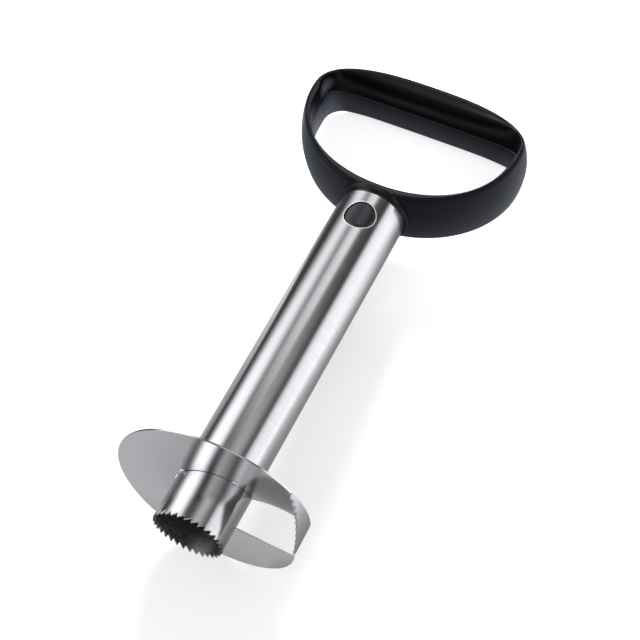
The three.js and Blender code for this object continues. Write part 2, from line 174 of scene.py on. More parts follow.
class SlicerFinishes(bpy.types.PropertyGroup):
    """Colours of the finishes"""

    tube_steel: coloured("Tube steel", "Colour of the core tube", (0.50, 0.495, 0.50))
    blade_steel: coloured("Blade steel", "Colour of the spiral blade", (0.55, 0.55, 0.56))
    soft_cover: coloured("Soft cover", "Colour of the soft grip cover", (0.0065, 0.0068, 0.0095))
    gloss_core: coloured("Glossy core", "Colour of the handle's hard core", (0.002, 0.002, 0.0025))
    satin_core: coloured("Satin core", "Colour of the core's satin half", (0.033, 0.036, 0.044))
    button: coloured("Button", "Colour of the push buttons", (0.010, 0.010, 0.014))
    floor: coloured("Floor", "Colour of the floor", (0.86, 0.865, 0.875))


class SlicerSettings(bpy.types.PropertyGroup):
    """Everything that a user may change on the slicer"""

    blade: PointerProperty(name="Blade", description="Blade sizes", type=SlicerBladeSizes)
    tube: PointerProperty(name="Tube", description="Tube sizes", type=SlicerTubeSizes)
    handle: PointerProperty(name="Handle", description="Handle sizes", type=SlicerHandleSizes)
    button: PointerProperty(name="Button", description="Button sizes", type=SlicerButtonSizes)
    finish: PointerProperty(name="Finish", description="Colours", type=SlicerFinishes)


# Mesh helpers

AXIS_Y = (0, 1, 0)
AXIS_Z = (0, 0, 1)
MERGE = 1e-4
SHARP = 35.0


def polar(radius, azimuth, height):
    """A point by its distance from the tube's axis, azimuth in degrees and height."""
    angle = math.radians(azimuth)
    return Vector((radius * math.cos(angle), radius * math.sin(angle), height))


def shares(steps):
    """Shares from 0 to 1 in even steps."""
    return [i / steps for i in range(steps + 1)]


def quarter(steps):
    """Angles from 0 to a right angle in even steps."""
    return [share * math.pi / 2 for share in shares(steps)]


def moved(bm, matrix):
    """Transform a whole bmesh and give it back."""
    bmesh.ops.transform(bm, matrix=matrix, verts=bm.verts)
    return bm


def at_hole(bm, tube, side=1):
    """Turn a form drawn along +Y to a side of the tube and lift it to the button holes."""
    turn = Matrix.Rotation(0 if side > 0 else math.pi, 4, "Z")
    return moved(bm, Matrix.Translation((0, 0, tube.hole_level)) @ turn)


def ring_edges(bm, ring):
    """The edges that close a ring of verts."""
    return [bm.edges.get((a, b)) for a, b in zip(ring, ring[1:] + ring[:1])]


def extruded_ring(bm, ring):
    """Extrude a ring in place and give the new one, in the same order."""
    made = bmesh.ops.extrude_edge_only(bm, edges=ring_edges(bm, ring))["geom"]
    new = {part for part in made if isinstance(part, bmesh.types.BMVert)}
    return [next(e.other_vert(v) for e in v.link_edges if e.other_vert(v) in new) for v in ring]


def skin(sections, closed):
    """A bmesh of one ring extruded through all the sections, then joined or capped."""
    bm = bmesh.new()
    ring = bmesh.ops.create_circle(bm, segments=len(sections[0]), radius=1)["verts"]
    first = ring
    for number, section in enumerate(sections + ([sections[0]] if closed else [])):
        if number:
            ring = extruded_ring(bm, ring)
        for vert, place in zip(ring, section):
            vert.co = place
    if closed:
        bmesh.ops.remove_doubles(bm, verts=bm.verts, dist=MERGE)
    else:
        for rim in (first, ring):
            bmesh.ops.contextual_create(bm, geom=ring_edges(bm, rim))
    return bm


def turned(profile, axis, steps):
    """A bmesh of a profile, as reach from the axis and place along it, spun once round."""
    bm = bmesh.new()
    verts = [bm.verts.new((reach, place * axis[1], place * axis[2])) for reach, place in profile]
    edges = [bm.edges.new(pair) for pair in zip(verts, verts[1:])]
    bmesh.ops.spin(bm, geom=verts + edges, cent=(0, 0, 0), axis=axis, dvec=(0, 0, 0),
                   angle=2 * math.pi, steps=steps, use_merge=True, use_duplicate=False)
    bmesh.ops.remove_doubles(bm, verts=bm.verts, dist=MERGE)
    return bm


def placed(name, data, location=(0, 0, 0), turn=(0, 0, 0)):
    """An object in the scene."""
    thing = bpy.data.objects.new(name, data)
    thing.location, thing.rotation_euler = location, turn
    bpy.context.scene.collection.objects.link(thing)
    return thing


def finished(name, bm, material, sharp=SHARP):
    """Turn a bmesh in the tool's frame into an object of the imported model's frame."""
    bmesh.ops.recalc_face_normals(bm, faces=bm.faces)
    moved(bm, TOOL_TO_FRAME)
    mesh = bpy.data.meshes.new(name)
    bm.to_mesh(mesh)
    bm.free()
    mesh.shade_smooth()
    mesh.set_sharp_from_angle(angle=math.radians(sharp))
    if material:
        mesh.materials.append(material)
    return placed(name, mesh)


def cut(piece, cutters):
    """Cut other objects out of a piece and remove them."""
    for cutter in cutters:
        step = piece.modifiers.new("Cut", "BOOLEAN")
        step.operation = "DIFFERENCE"
        step.solver = "EXACT"
        step.object = cutter
    bpy.context.view_layer.update()
    shaped = bpy.data.meshes.new_from_object(
        piece.evaluated_get(bpy.context.evaluated_depsgraph_get()))
    shaped.name = piece.name
    piece.modifiers.clear()
    piece.data = shaped
    for cutter in cutters:
        bpy.data.objects.remove(cutter)
    shaped.shade_smooth()
    shaped.set_sharp_from_angle(angle=math.radians(SHARP))


def soften(piece, width, angle):
    """Round the sharp edges of a piece with a narrow bevel."""
    step = piece.modifiers.new("Soften", "BEVEL")
    step.width = width * MM
    step.segments = 2
    step.limit_method = "ANGLE"
    step.angle_limit = math.radians(angle)
    step.harden_normals = True


def carried(piece, body, node, pressed_by=None):
    """Tie a piece to its body and hide the imported node that it stands for.

    A spring is not tied to a body: its place is baked into its mesh.
    """
    if pressed_by:
        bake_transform(piece)
    else:
        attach(piece, body)
    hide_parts(node)


# Material helpers

RAMP_PLACES = (0.3, 0.7)
BROAD_SHARE = 0.12
SCRATCH_WIDTH = 0.006


def feed(tree, value, socket):
    """Link a socket to another, or set its value; a colour may leave out its alpha."""
    if isinstance(value, bpy.types.NodeSocket):
        tree.links.new(value, socket)
    elif socket.type == "RGBA" and len(value) == 3:
        socket.default_value = (*value, 1.0)
    else:
        socket.default_value = value


def fed(tree, node, **inputs):
    """A node with its sockets fed by name; spaces are written as underscores."""
    for name, value in inputs.items():
        feed(tree, value, node.inputs[name.replace("_", " ")])
    return node


def new_node(tree, kind, **inputs):
    return fed(tree, tree.nodes.new(kind), **inputs)


def placed_group(tree, group, **inputs):
    """The outputs of a node group, with its own values."""
    node = tree.nodes.new("ShaderNodeGroup")
    node.node_tree = group
    return fed(tree, node, **inputs).outputs


def math_node(tree, operation, *values):
    """One operation on sockets or numbers, by its own name."""
    node = tree.nodes.new("ShaderNodeMath")
    node.operation = operation
    for value, socket in zip(values, node.inputs):
        feed(tree, value, socket)
    return node.outputs[0]


def chained(tree, operation, result, *others):
    """One operation on several values in turn."""
    for other in others:
        result = math_node(tree, operation, result, other)
    return result


def distance(tree, *offsets):
    """How far off a point is, from its offsets along different axes."""
    squares = [math_node(tree, "POWER", offset, 2.0) for offset in offsets]
    return math_node(tree, "SQRT", chained(tree, "ADD", *squares))


def multiplied(tree, first, second):
    """Two vectors, or a colour and a number, multiplied part by part."""
    node = tree.nodes.new("ShaderNodeVectorMath")
    node.operation = "MULTIPLY"
    feed(tree, first, node.inputs[0])
    feed(tree, second, node.inputs[1])
    return node.outputs[0]


def ranged(tree, value, start, end, low=0.0, high=1.0):
    """A value's way from start to end, spread from low to high."""
    return new_node(tree, "ShaderNodeMapRange", Value=value, From_Min=start, From_Max=end,
                    To_Min=low, To_Max=high).outputs["Result"]


def band_mask(tree, value, low, high, fade):
    """A mask that is 1 where a value lies between two limits."""
    return math_node(tree, "MULTIPLY", ranged(tree, value, low - fade, low),
                     ranged(tree, value, high, high + fade, 1.0, 0.0))


def mixed(tree, mask, first, second, kind="RGBA"):
    """The first value where a mask is 0, and the second where it is 1."""
    mix = tree.nodes.new("ShaderNodeMix")
    mix.data_type = kind
    start, result = (6, 2) if kind == "RGBA" else (2, 0)
    for place, value in ((0, mask), (start, first), (start + 1, second)):
        feed(tree, value, mix.inputs[place])
    return mix.outputs[result]


def mixed_in(tree, mask, value, socket):
    """Bring another value or colour to a linked socket where a mask is 1."""
    kind = "RGBA" if socket.type == "RGBA" else "FLOAT"
    tree.links.new(mixed(tree, mask, socket.links[0].from_socket, value, kind), socket)


def tinted(tree, mask, dark, light):
    """A colour between two by a mask."""
    ramp = new_node(tree, "ShaderNodeValToRGB", Fac=mask)
    for mark, place, colour in zip(ramp.color_ramp.elements, RAMP_PLACES, (dark, light)):
        mark.position = place
        mark.color = (*colour, 1.0)
    return ramp.outputs["Color"]


def bumped(tree, height, strength, depth):
    return new_node(tree, "ShaderNodeBump", Height=height, Strength=strength,
                    Distance=depth * MM).outputs["Normal"]


def axes(tree, vector):
    """The three parts of a vector."""
    return new_node(tree, "ShaderNodeSeparateXYZ", Vector=vector).outputs[:]


def tool_coordinates(tree, source="Object", place=TOOL_PLACE):
    """Coordinates turned to the tool's frame, still in metres."""
    given = tree.nodes.new("ShaderNodeTexCoord").outputs[source]
    turn = new_node(tree, "ShaderNodeMapping", Vector=given, Location=place, Rotation=TOOL_TURN)
    turn.vector_type = "TEXTURE"
    return turn.outputs["Vector"]


def effect_group(name, inputs, fill):
    """A node group made once: fill gives its outputs from its inputs, both by name."""
    group = bpy.data.node_groups.get(name)
    if group:
        return group
    group = bpy.data.node_groups.new(name, "ShaderNodeTree")
    for label, value in inputs.items():
        kind = "NodeSocketFloat" if isinstance(value, float) else "NodeSocketVector"
        group.interface.new_socket(label, in_out="INPUT", socket_type=kind).default_value = value
    made = fill(group, group.nodes.new("NodeGroupInput").outputs)
    for label in made:
        group.interface.new_socket(label, in_out="OUTPUT", socket_type="NodeSocketFloat")
    fed(group, group.nodes.new("NodeGroupOutput"), **made)
    return group


def brushed_grain():
    """Fine drawn lines, long along one direction and close across it, with broader bands."""
    def fill(group, given):
        stretched = multiplied(group, given["Vector"], given["Stretch"])
        broad = math_node(group, "MULTIPLY", given["Lines"], BROAD_SHARE)
        line = new_node(group, "ShaderNodeTexNoise", Vector=stretched, Scale=given["Lines"],
                        Detail=3.0, Roughness=0.6)
        band = new_node(group, "ShaderNodeTexNoise", Vector=stretched, Scale=broad, Detail=2.0)
        return {"Line": line.outputs["Fac"], "Band": band.outputs["Fac"]}

    return effect_group("Brushed grain", {
        "Vector": (0, 0, 0), "Stretch": (1, 1, 1), "Lines": 4000.0}, fill)


def handling_marks():
    """Sparse hair scratches and faint smudges, as on a tool that has been handled."""
    def fill(group, given):
        stretched = new_node(group, "ShaderNodeMapping", Vector=given["Vector"],
                             Rotation=(0.3, 0.5, 0.9), Scale=(0.05, 1.0, 1.0))
        scratch = new_node(group, "ShaderNodeTexNoise", Vector=stretched.outputs["Vector"],
                           Scale=given["Scratch scale"], Detail=1.0, Distortion=0.4)
        off = math_node(group, "ABSOLUTE",
                        math_node(group, "SUBTRACT", scratch.outputs["Fac"], 0.5))
        smudge = new_node(group, "ShaderNodeTexNoise", Vector=given["Vector"],
                          Scale=given["Smudge scale"], Detail=4.0)
        return {"Scratch": ranged(group, off, 0.0, SCRATCH_WIDTH, 1.0, 0.0),
                "Smudge": smudge.outputs["Fac"]}

    return effect_group("Handling marks", {
        "Vector": (0, 0, 0), "Scratch scale": 160.0, "Smudge scale": 45.0}, fill)


def start_material(name):
    material = bpy.data.materials.new(name)
    material.use_nodes = True
    tree = material.node_tree
    return material, tree, tree.nodes["Principled BSDF"]


# Steel and plastic. Roughness goes from the first to the second value over the marks, and grit
# and grain depths are in mm.

GRAIN_DEPTH = 0.02
GRIT_DEPTH = 0.03
SCRATCH_SHARE = 0.5
SMUDGE_ROUGHNESS = 0.05
MOTTLE = 0.08
SHEEN_TINT = (0.60, 0.66, 0.85)
# The colour of painted highlights and painted light: the ring round each button hole and the
# bore's mouth
PAINTED_LIGHT_COLOUR = (0.9, 0.9, 0.9)
RIM_ROUGHNESS = 0.5
RIM_FADE = 0.1
# The bore's two tones, between which its scratch lines run, darker than the outside partly as
# painted shade
BORE_DARK = (0.07, 0.07, 0.077)
BORE_LIGHT = (0.42, 0.42, 0.42)
BORE_ROUGHNESS = 0.45
BORE_SHARE = 0.6
BORE_FADE = 0.05

# Painted light at the bore's mouth, where light falls in: bands along X, Y and Z, each from, to
# and fade, in mm
MOUTH_LIGHT_BANDS = ((-6.0, -1.0, 4.0), (-16.0, -12.0, 3.0), (-12.4, -10.5, 9.0))
MOUTH_LIGHT_LEAST = 0.45

# The core's satin half: the fade at its crease, its gain towards the far rim, and its gains
# towards the +X side and down that side, each with where it begins and ends, in mm. The gains
# are painted light: the satin half is painted paler where more light falls on it.
SATIN_FADE = (1.9, 0.1)
SATIN_ROUGHNESS = 0.32
SATIN_FAR = (0.0, -12.0)
SATIN_FAR_PAINTED_GAIN = 3.4
SATIN_SIDE = (42.0, 50.0)
SATIN_SIDE_PAINTED_GAIN = 1.9
SATIN_LOW = (218.0, 206.0)
SATIN_LOW_PAINTED_GAIN = 3.0
# A painted highlight: a pale spot in the core's upper inner corner on the +X side, standing for a
# reflected light; its centre, its reach in mm, and its colour
HIGHLIGHT_SPOT_AT = (49.4, 7.6, 221.5)
HIGHLIGHT_SPOT_REACH = 6.0
HIGHLIGHT_SPOT_COLOUR = (0.25, 0.25, 0.27)


def steel(name, colour, stretch, lines, roughness, bump, banding=0.03):
    """Drawn or brushed stainless steel whose grain runs where stretch is small."""
    material, tree, shader = start_material(name)
    vector = tool_coordinates(tree)
    grain = placed_group(tree, brushed_grain(), Vector=vector, Stretch=stretch, Lines=lines)
    marks = placed_group(tree, handling_marks(), Vector=vector)
    shade = Vector(colour)
    smudge = math_node(tree, "MULTIPLY", marks["Smudge"], SMUDGE_ROUGHNESS)
    height = math_node(tree, "SUBTRACT", grain["Line"],
                       math_node(tree, "MULTIPLY", marks["Scratch"], SCRATCH_SHARE))
    fed(tree, shader, Metallic=1.0,
        Base_Color=tinted(tree, grain["Band"], shade * (1 - banding), shade * (1 + banding)),
        Roughness=math_node(tree, "ADD", ranged(tree, grain["Line"], 0, 1, *roughness), smudge),
        Normal=bumped(tree, height, bump, GRAIN_DEPTH))
    return material


def tube_steel(finish, tube):
    """Drawn tube, matt in its bore. A painted highlight rings the button holes; the bore is
    painted darker, partly as painted shade, with painted light at its mouth.
    """
    material = steel("Tube steel", finish.tube_steel, (0.012, 0.012, 1.0), lines=7000.0,
                     roughness=(0.10, 0.17), bump=0.22)
    tree = material.node_tree
    colour, rough = (tree.nodes["Principled BSDF"].inputs[name]
                     for name in ("Base Color", "Roughness"))
    vector = tool_coordinates(tree)
    x, y, z = axes(tree, vector)
    bore = band_mask(tree, distance(tree, x, y), 0, (tube.radius - tube.wall * BORE_SHARE) * MM,
                     BORE_FADE * MM)
    rings = placed_group(tree, brushed_grain(), Vector=vector, Stretch=(0.12, 0.12, 1.0),
                         Lines=2600.0)
    mixed_in(tree, bore, tinted(tree, rings["Line"], BORE_DARK, BORE_LIGHT), colour)
    # Painted light: the bore goes pale near its mouth, where light falls in
    bands = [band_mask(tree, value, *(limit * MM for limit in band))
             for value, band in zip((x, y, z), MOUTH_LIGHT_BANDS)]
    painted_mouth_light = chained(tree, "MULTIPLY", ranged(tree, rings["Line"], 0, 1, MOUTH_LIGHT_LEAST, 1.0), bore,
                   *bands)
    mixed_in(tree, painted_mouth_light, PAINTED_LIGHT_COLOUR, colour)
    mixed_in(tree, bore, BORE_ROUGHNESS, rough)
    # Painted highlight: a pale, rough ring on the chamfer round each button hole
    across = distance(tree, x, math_node(tree, "SUBTRACT", z, tube.hole_level * MM))
    ring = band_mask(tree, across, (tube.hole_radius - RIM_FADE) * MM,
                     (tube.hole_radius + tube.hole_chamfer) * MM, RIM_FADE * MM)
    rim = math_node(tree, "MULTIPLY", ring, math_node(tree, "SUBTRACT", 1.0, bore))
    mixed_in(tree, rim, PAINTED_LIGHT_COLOUR, colour)
    mixed_in(tree, rim, RIM_ROUGHNESS, rough)
    return material


def blade_steel(finish, name="Blade steel", roughness=(0.09, 0.14)):
    return steel(name, finish.blade_steel, (0.02, 1.0, 1.0), lines=5000.0,
                 roughness=roughness, bump=0.05, banding=0.015)


def weld_steel(finish):
    """Bright and rough, as left by a spot of weld."""
    return steel("Weld steel", Vector(finish.tube_steel) * 1.5, (1.0, 1.0, 1.0), lines=1500.0,
                 roughness=(0.22, 0.4), bump=1.0, banding=0.3)


def wire_steel(finish):
    return steel("Spring wire", finish.tube_steel, (1.0, 1.0, 1.0), lines=9000.0,
                 roughness=(0.2, 0.3), bump=0.2)


def plastic(name, colour, roughness, grit_scale, grit, sheen=0.0, shine=0.5):
    """Moulded plastic: a fine even grit, and faint handling marks in its roughness."""
    material, tree, shader = start_material(name)
    vector = tool_coordinates(tree)
    marks = placed_group(tree, handling_marks(), Vector=vector, Smudge_scale=60.0)
    speckle = new_node(tree, "ShaderNodeTexNoise", Vector=vector, Scale=grit_scale, Detail=2.0)
    shade = Vector(colour)
    mottled = tinted(tree, marks["Smudge"], shade * (1 - MOTTLE), shade * (1 + MOTTLE))
    fed(tree, shader, Base_Color=mottled,
        Roughness=ranged(tree, marks["Smudge"], 0, 1, *roughness),
        Normal=bumped(tree, speckle.outputs["Fac"], grit, GRIT_DEPTH), Specular_IOR_Level=shine,
        Sheen_Weight=sheen, Sheen_Roughness=0.45, Sheen_Tint=SHEEN_TINT)
    return material


def soft_plastic(finish):
    return plastic("Soft cover", finish.soft_cover, (0.42, 0.50), grit_scale=5200.0, grit=0.2,
                   sheen=0.36, shine=0.07)


def collar_plastic(finish):
    return plastic("Collar", finish.soft_cover, (0.26, 0.32), grit_scale=3000.0, grit=0.08,
                   sheen=0.05, shine=0.2)


def gloss_plastic(finish):
    """The core is glossy black on the near half of its hole and satin on the far half. The satin
    half is painted paler towards its far rim and its +X side as painted light, and a painted
    highlight sits in one upper corner.
    """
    material = plastic("Glossy core", finish.gloss_core, (0.20, 0.27), grit_scale=900.0,
                       grit=0.02)
    tree = material.node_tree
    shader = tree.nodes["Principled BSDF"]
    x, y, z = axes(tree, tool_coordinates(tree))

    def along(value, limits, *levels):
        return ranged(tree, value, *(limit * MM for limit in limits), *levels)

    # Painted light: the satin half goes paler towards the far rim, the +X side and down that side
    satin = mixed(tree, along(y, SATIN_FAR), finish.satin_core,
                  Vector(finish.satin_core) * SATIN_FAR_PAINTED_GAIN)
    side = math_node(tree, "MULTIPLY", along(x, SATIN_SIDE, 0.0, SATIN_SIDE_PAINTED_GAIN),
                     along(z, SATIN_LOW, 1.0, SATIN_LOW_PAINTED_GAIN))
    satin_with_painted_light = multiplied(tree, satin, math_node(tree, "ADD", side, 1.0))
    mask = along(y, SATIN_FADE)
    mixed_in(tree, mask, satin_with_painted_light, shader.inputs["Base Color"])
    mixed_in(tree, mask, SATIN_ROUGHNESS, shader.inputs["Roughness"])
    # Painted highlight: the base colour goes pale in a spot in one upper inner corner
    off = distance(tree, *(math_node(tree, "SUBTRACT", value, place * MM)
                           for value, place in zip((x, y, z), HIGHLIGHT_SPOT_AT)))
    painted_highlight = along(off, (HIGHLIGHT_SPOT_REACH, 0.0))
    mixed_in(tree, painted_highlight, HIGHLIGHT_SPOT_COLOUR, shader.inputs["Base Color"])
    return material


def button_plastic(finish):
    return plastic("Button", finish.button, (0.22, 0.28), grit_scale=6000.0, grit=0.1)


# The core tube

TOOTH_PARTS = 10
TOOTH_TIP_PART = 1
TUBE_LEVELS = (-8, 0, 20, 60, 100, 140, 165)
TUBE_EDGE = 0.07
HOLE_STEPS = 96
HOLE_OVERRUN = 2
HOLE_TOLERANCE = 0.02
HOLE_FOLD = 0.6
HOLE_SHARP = 12


def tube_foot(tube, part):
    """The height of the toothed foot at a tenth of a tooth."""
    along = part % TOOTH_PARTS
    if along <= TOOTH_TIP_PART:
        drop = along / TOOTH_TIP_PART
    else:
        drop = (TOOTH_PARTS - along) / (TOOTH_PARTS - TOOTH_TIP_PART)
    return tube.foot + tube.tooth_height * (1 - drop)


def tube_ring(tube, radius, height=None):
    """A ring of the tube's wall; with no height it follows the teeth."""
    count = tube.teeth * TOOTH_PARTS
    return [polar(radius, 360 * i / count, tube_foot(tube, i) if height is None else height)
            for i in range(count)]


def chamfer_holes(piece, tube):
    """Chamfer the outer edges of the button holes."""
    bm = bmesh.new()
    bm.from_mesh(piece.data)
    moved(bm, TOOL_TO_FRAME.inverted())
    bmesh.ops.remove_doubles(bm, verts=bm.verts, dist=MERGE)

    def on_edge(vert):
        x, y, z = vert.co
        offsets = (math.hypot(x, z - tube.hole_level) - tube.hole_radius,
                   math.hypot(x, y) - tube.radius)
        return max(map(abs, offsets)) < HOLE_TOLERANCE

    rims = [e for e in bm.edges if all(map(on_edge, e.verts)) and e.calc_face_angle(0) > HOLE_FOLD]
    bmesh.ops.bevel(bm, geom=rims, offset=tube.hole_chamfer, offset_type="OFFSET", segments=2,
                    profile=0.5, affect="EDGES", material=-1, clamp_overlap=True)
    moved(bm, TOOL_TO_FRAME).to_mesh(piece.data)
    bm.free()
    piece.data.shade_smooth()
    piece.data.set_sharp_from_angle(angle=math.radians(HOLE_SHARP))


class SLICER_OT_core_tube(bpy.types.Operator):
    """Build the toothed core tube"""

    bl_idname = "slicer.core_tube"
    bl_label = "Core tube"

    def execute(self, context):
        settings = context.scene.slicer
        tube = settings.tube
        bore = tube.radius - tube.wall
        levels = [*TUBE_LEVELS, tube.end]
        sections = [tube_ring(tube, tube.radius)]
        sections += [tube_ring(tube, tube.radius, level) for level in levels]
        sections += [tube_ring(tube, bore, level) for level in reversed(levels)]
        sections.append(tube_ring(tube, bore))
        piece = finished("core_tube_wall", skin(sections, closed=True),
                         tube_steel(settings.finish, tube))
        reach = tube.radius + HOLE_OVERRUN
        profile = [(0, -reach), (tube.hole_radius, -reach), (tube.hole_radius, reach), (0, reach)]
        drill = at_hole(turned(profile, AXIS_Y, HOLE_STEPS), tube)
        cut(piece, [finished("drill", drill, None)])
        chamfer_holes(piece, tube)
        soften(piece, TUBE_EDGE, 50)
        carried(piece, "slicer", "core_tube")
        return {"FINISHED"}


# The spiral blade

BLADE_BANDS = 10
SHEET_EDGE = 0.12
LEAD_CORNER = 1.4
LEAD_MARGIN = 0.2
LEAD_CORNER_STEPS = 6
GRIND_STEPS = 5
PLAIN_STEPS = 170
TRAIL_BOW = 4.5
TRAIL_BOW_REACH = 14
TRAIL_BOW_STEPS = 14
CUTTER_STEPS_PER_TOOTH = 8
CUTTER_TIP_STEP = 3
CUTTER_START_HEIGHT = 0.9
CUTTER_CORNER = 1.2
CUTTER_GRIND = 0.6
CUTTER_EDGE = 0.06
CUTTER_ROUGHNESS = (0.34, 0.40)
NOTCH_WIDTH = 0.6
NOTCH_DEPTH = 2.2
WELD_TURNS = (38, 127, 218, 307)
WELD_SCALE = (0.9, 0.9, 0.75)
WELD_REACH = 0.75
WELD_BEADS = ((-2.6, 0.85, 0.1), (0.3, 1.1, 0.0), (2.9, 0.8, 0.15))


def blade_height(blade, turn):
    return blade.pitch * turn / 360


def spiral_sheet(blade, bore):
    """The sheet's section swept up the helix in four stretches."""
    bm = bmesh.new()
    bmesh.ops.create_grid(bm, x_segments=BLADE_BANDS, y_segments=1, size=0.5)
    for vert in bm.verts:
        radius = bore + (blade.radius - bore) * (vert.co.x + 0.5)
        vert.co = polar(radius, blade.edge_azimuth, blade.sheet * vert.co.y)
    corner = math.degrees(LEAD_CORNER / blade.radius)
    ground = math.degrees(blade.grind / blade.radius)
    bowed = blade.turn - TRAIL_BOW_REACH
    geometry = bm.verts[:] + bm.edges[:] + bm.faces[:]
    for turn, steps in ((corner, LEAD_CORNER_STEPS), (ground - corner, GRIND_STEPS),
                        (bowed - ground, PLAIN_STEPS), (TRAIL_BOW_REACH, TRAIL_BOW_STEPS)):
        made = bmesh.ops.spin(
            bm, geom=geometry, cent=(0, 0, 0), axis=AXIS_Z,
            dvec=(0, 0, blade_height(blade, turn) / steps), angle=math.radians(turn),
            steps=steps, use_merge=False, use_duplicate=False)
        geometry = made["geom_last"]
    return bm


def shape_sheet(bm, blade, bore):
    """Round the leading corner, grind the leading edge and bow the trailing edge."""
    for vert in bm.verts:
        radius = math.hypot(vert.co.x, vert.co.y)
        azimuth = math.degrees(math.atan2(vert.co.y, vert.co.x))
        turn = (azimuth - blade.edge_azimuth + LEAD_MARGIN) % 360 - LEAD_MARGIN
        on_top = vert.co.z > blade_height(blade, turn)
        along = max(blade.radius * math.radians(turn), 0)
        short = max(LEAD_CORNER - along, 0)
        rim = blade.radius - LEAD_CORNER + math.sqrt(LEAD_CORNER ** 2 - short ** 2)
        share = (radius - bore) / (blade.radius - bore)
        radius = bore + (rim - bore) * share
        thickness = min(blade.sheet, blade.land + (blade.sheet - blade.land) * along / blade.grind)
        bowing = max(turn - blade.turn + TRAIL_BOW_REACH, 0) / TRAIL_BOW_REACH
        turn -= math.degrees(bowing * TRAIL_BOW * (1 - (2 * share - 1) ** 2) / radius)
        foot = blade_height(blade, turn) - blade.sheet / 2
        vert.co = polar(radius, blade.edge_azimuth + turn, foot + (thickness if on_top else 0))


def cutter_section(blade, turn, tooth):
    """The rim cutter's section: straight foot line from the notch to the leading corner."""
    share = (turn - blade.cutter_start) / (blade.cutter_end - blade.cutter_start)
    along = blade.radius * math.radians(blade.cutter_end - turn)
    short = max(CUTTER_CORNER - along, 0)
    rounding = CUTTER_CORNER - math.sqrt(CUTTER_CORNER ** 2 - short ** 2)
    half = blade.sheet / 2
    top = blade_height(blade, 360 + turn) + half - rounding
    start_foot = blade_height(blade, 360 + blade.cutter_start) + half - CUTTER_START_HEIGHT
    foot = start_foot + (-half - start_foot) * share - tooth * blade.cutter_tooth_height
    inner = blade.radius - blade.sheet
    azimuth = blade.edge_azimuth + turn
    return [polar(inner, azimuth, foot), polar(blade.radius, azimuth, foot + CUTTER_GRIND),
            polar(blade.radius, azimuth, top), polar(inner, azimuth, top)]


def rim_cutter(blade):
    """The toothed flag that is bent down from the rim."""
    steps = blade.cutter_teeth * CUTTER_STEPS_PER_TOOTH
    corner = math.degrees(CUTTER_CORNER / blade.radius)
    toothed = blade.cutter_end - corner - blade.cutter_start
    sections = []
    for i in range(steps):
        part = i % CUTTER_STEPS_PER_TOOTH
        if part <= CUTTER_TIP_STEP:
            tooth = part / CUTTER_TIP_STEP
        else:
            tooth = (CUTTER_STEPS_PER_TOOTH - part) / (CUTTER_STEPS_PER_TOOTH - CUTTER_TIP_STEP)
        turn = blade.cutter_start + toothed * i / steps
        sections.append(cutter_section(blade, turn, tooth))
    for angle in quarter(LEAD_CORNER_STEPS):
        turn = blade.cutter_end - corner * (1 - math.sin(angle))
        sections.append(cutter_section(blade, turn, 0))
    return skin(sections, closed=False)


def notch_cutter(blade):
    """The slit where the bend of the rim cutter begins."""
    bm = bmesh.new()
    bmesh.ops.create_cube(bm, size=1)
    bmesh.ops.scale(bm, vec=(NOTCH_DEPTH * 2, NOTCH_WIDTH, blade.sheet * 5), verts=bm.verts)
    level = blade_height(blade, 360 + blade.cutter_start)
    azimuth = math.radians(blade.edge_azimuth + blade.cutter_start) - NOTCH_WIDTH / blade.radius
    moved(bm, Matrix.Rotation(azimuth, 4, "Z") @ Matrix.Translation((blade.radius, 0, level)))
    return finished("notch", bm, None)


def weld_beads(blade, radius):
    """Spots of weld in the corner between the sheet and the tube."""
    bm = bmesh.new()
    for turn in WELD_TURNS:
        for shift, size, inset in WELD_BEADS:
            made = bmesh.ops.create_uvsphere(bm, u_segments=16, v_segments=10, radius=size)
            bmesh.ops.scale(bm, vec=WELD_SCALE, verts=made["verts"])
            place = polar(radius + WELD_REACH - inset, blade.edge_azimuth + turn + shift,
                          blade_height(blade, turn + shift) - blade.sheet / 2)
            bmesh.ops.translate(bm, vec=place, verts=made["verts"])
    return bm


class SLICER_OT_spiral_blade(bpy.types.Operator):
    """Build the spiral blade, its rim cutter and the welds that hold it"""

    bl_idname = "slicer.spiral_blade"
    bl_label = "Spiral blade"

    def execute(self, context):
        settings = context.scene.slicer
        blade = settings.blade
        bore = settings.tube.radius + SEAT_GAP
        bm = spiral_sheet(blade, bore)
        shape_sheet(bm, blade, bore)
        sheet = finished("blade_sheet", bm, blade_steel(settings.finish))
        cut(sheet, [notch_cutter(blade)])
        soften(sheet, SHEET_EDGE, 50)
        carried(sheet, "slicer", "spiral_blade")
        edge = blade_steel(settings.finish, "Cutter steel", CUTTER_ROUGHNESS)
        cutter = finished("blade_rim_cutter", rim_cutter(blade), edge, sharp=25)
        soften(cutter, CUTTER_EDGE, 30)
        carried(cutter, "slicer", "spiral_blade")
        welds = finished("blade_welds", weld_beads(blade, settings.tube.radius),
                         weld_steel(settings.finish), sharp=80)
        carried(welds, "slicer", "spiral_blade")
        return {"FINISHED"}


# The handle

OUTER_SHAPES = (2.0, 2.62)
INNER_SHAPES = (2.3, 6.5)
LOOP_STEPS = 280
COVER_SET_BACK = 0.25
COVER_CROWN = 2.0
COVER_EDGE_DEPTH = 0.7
COVER_EDGE_REACH = 1.5
COLLAR_EDGE = 0.5
COLLAR_SNUG = 0.05
COLLAR_STEPS = 128
CORE_CREASE = 0.4
CREASE_OFFSET = 1.3
CREASE_FLAT = 0.2
CORE_RIM_FLAT = 0.6
CORE_ROUND_SHARE = 0.75
CORE_ROUND_LIMIT = 4.4
BAR_BLEND = 0.3
PLUG_CLEARANCE = 0.4
PLUG_END = 140
PLUG_CHAMFER = 1.2
PLUG_STEPS = 96
POCKET_FOOT = 3
POCKET_LIP = 10.95
POCKET_TOP = 20
POCKET_STEPS = 64


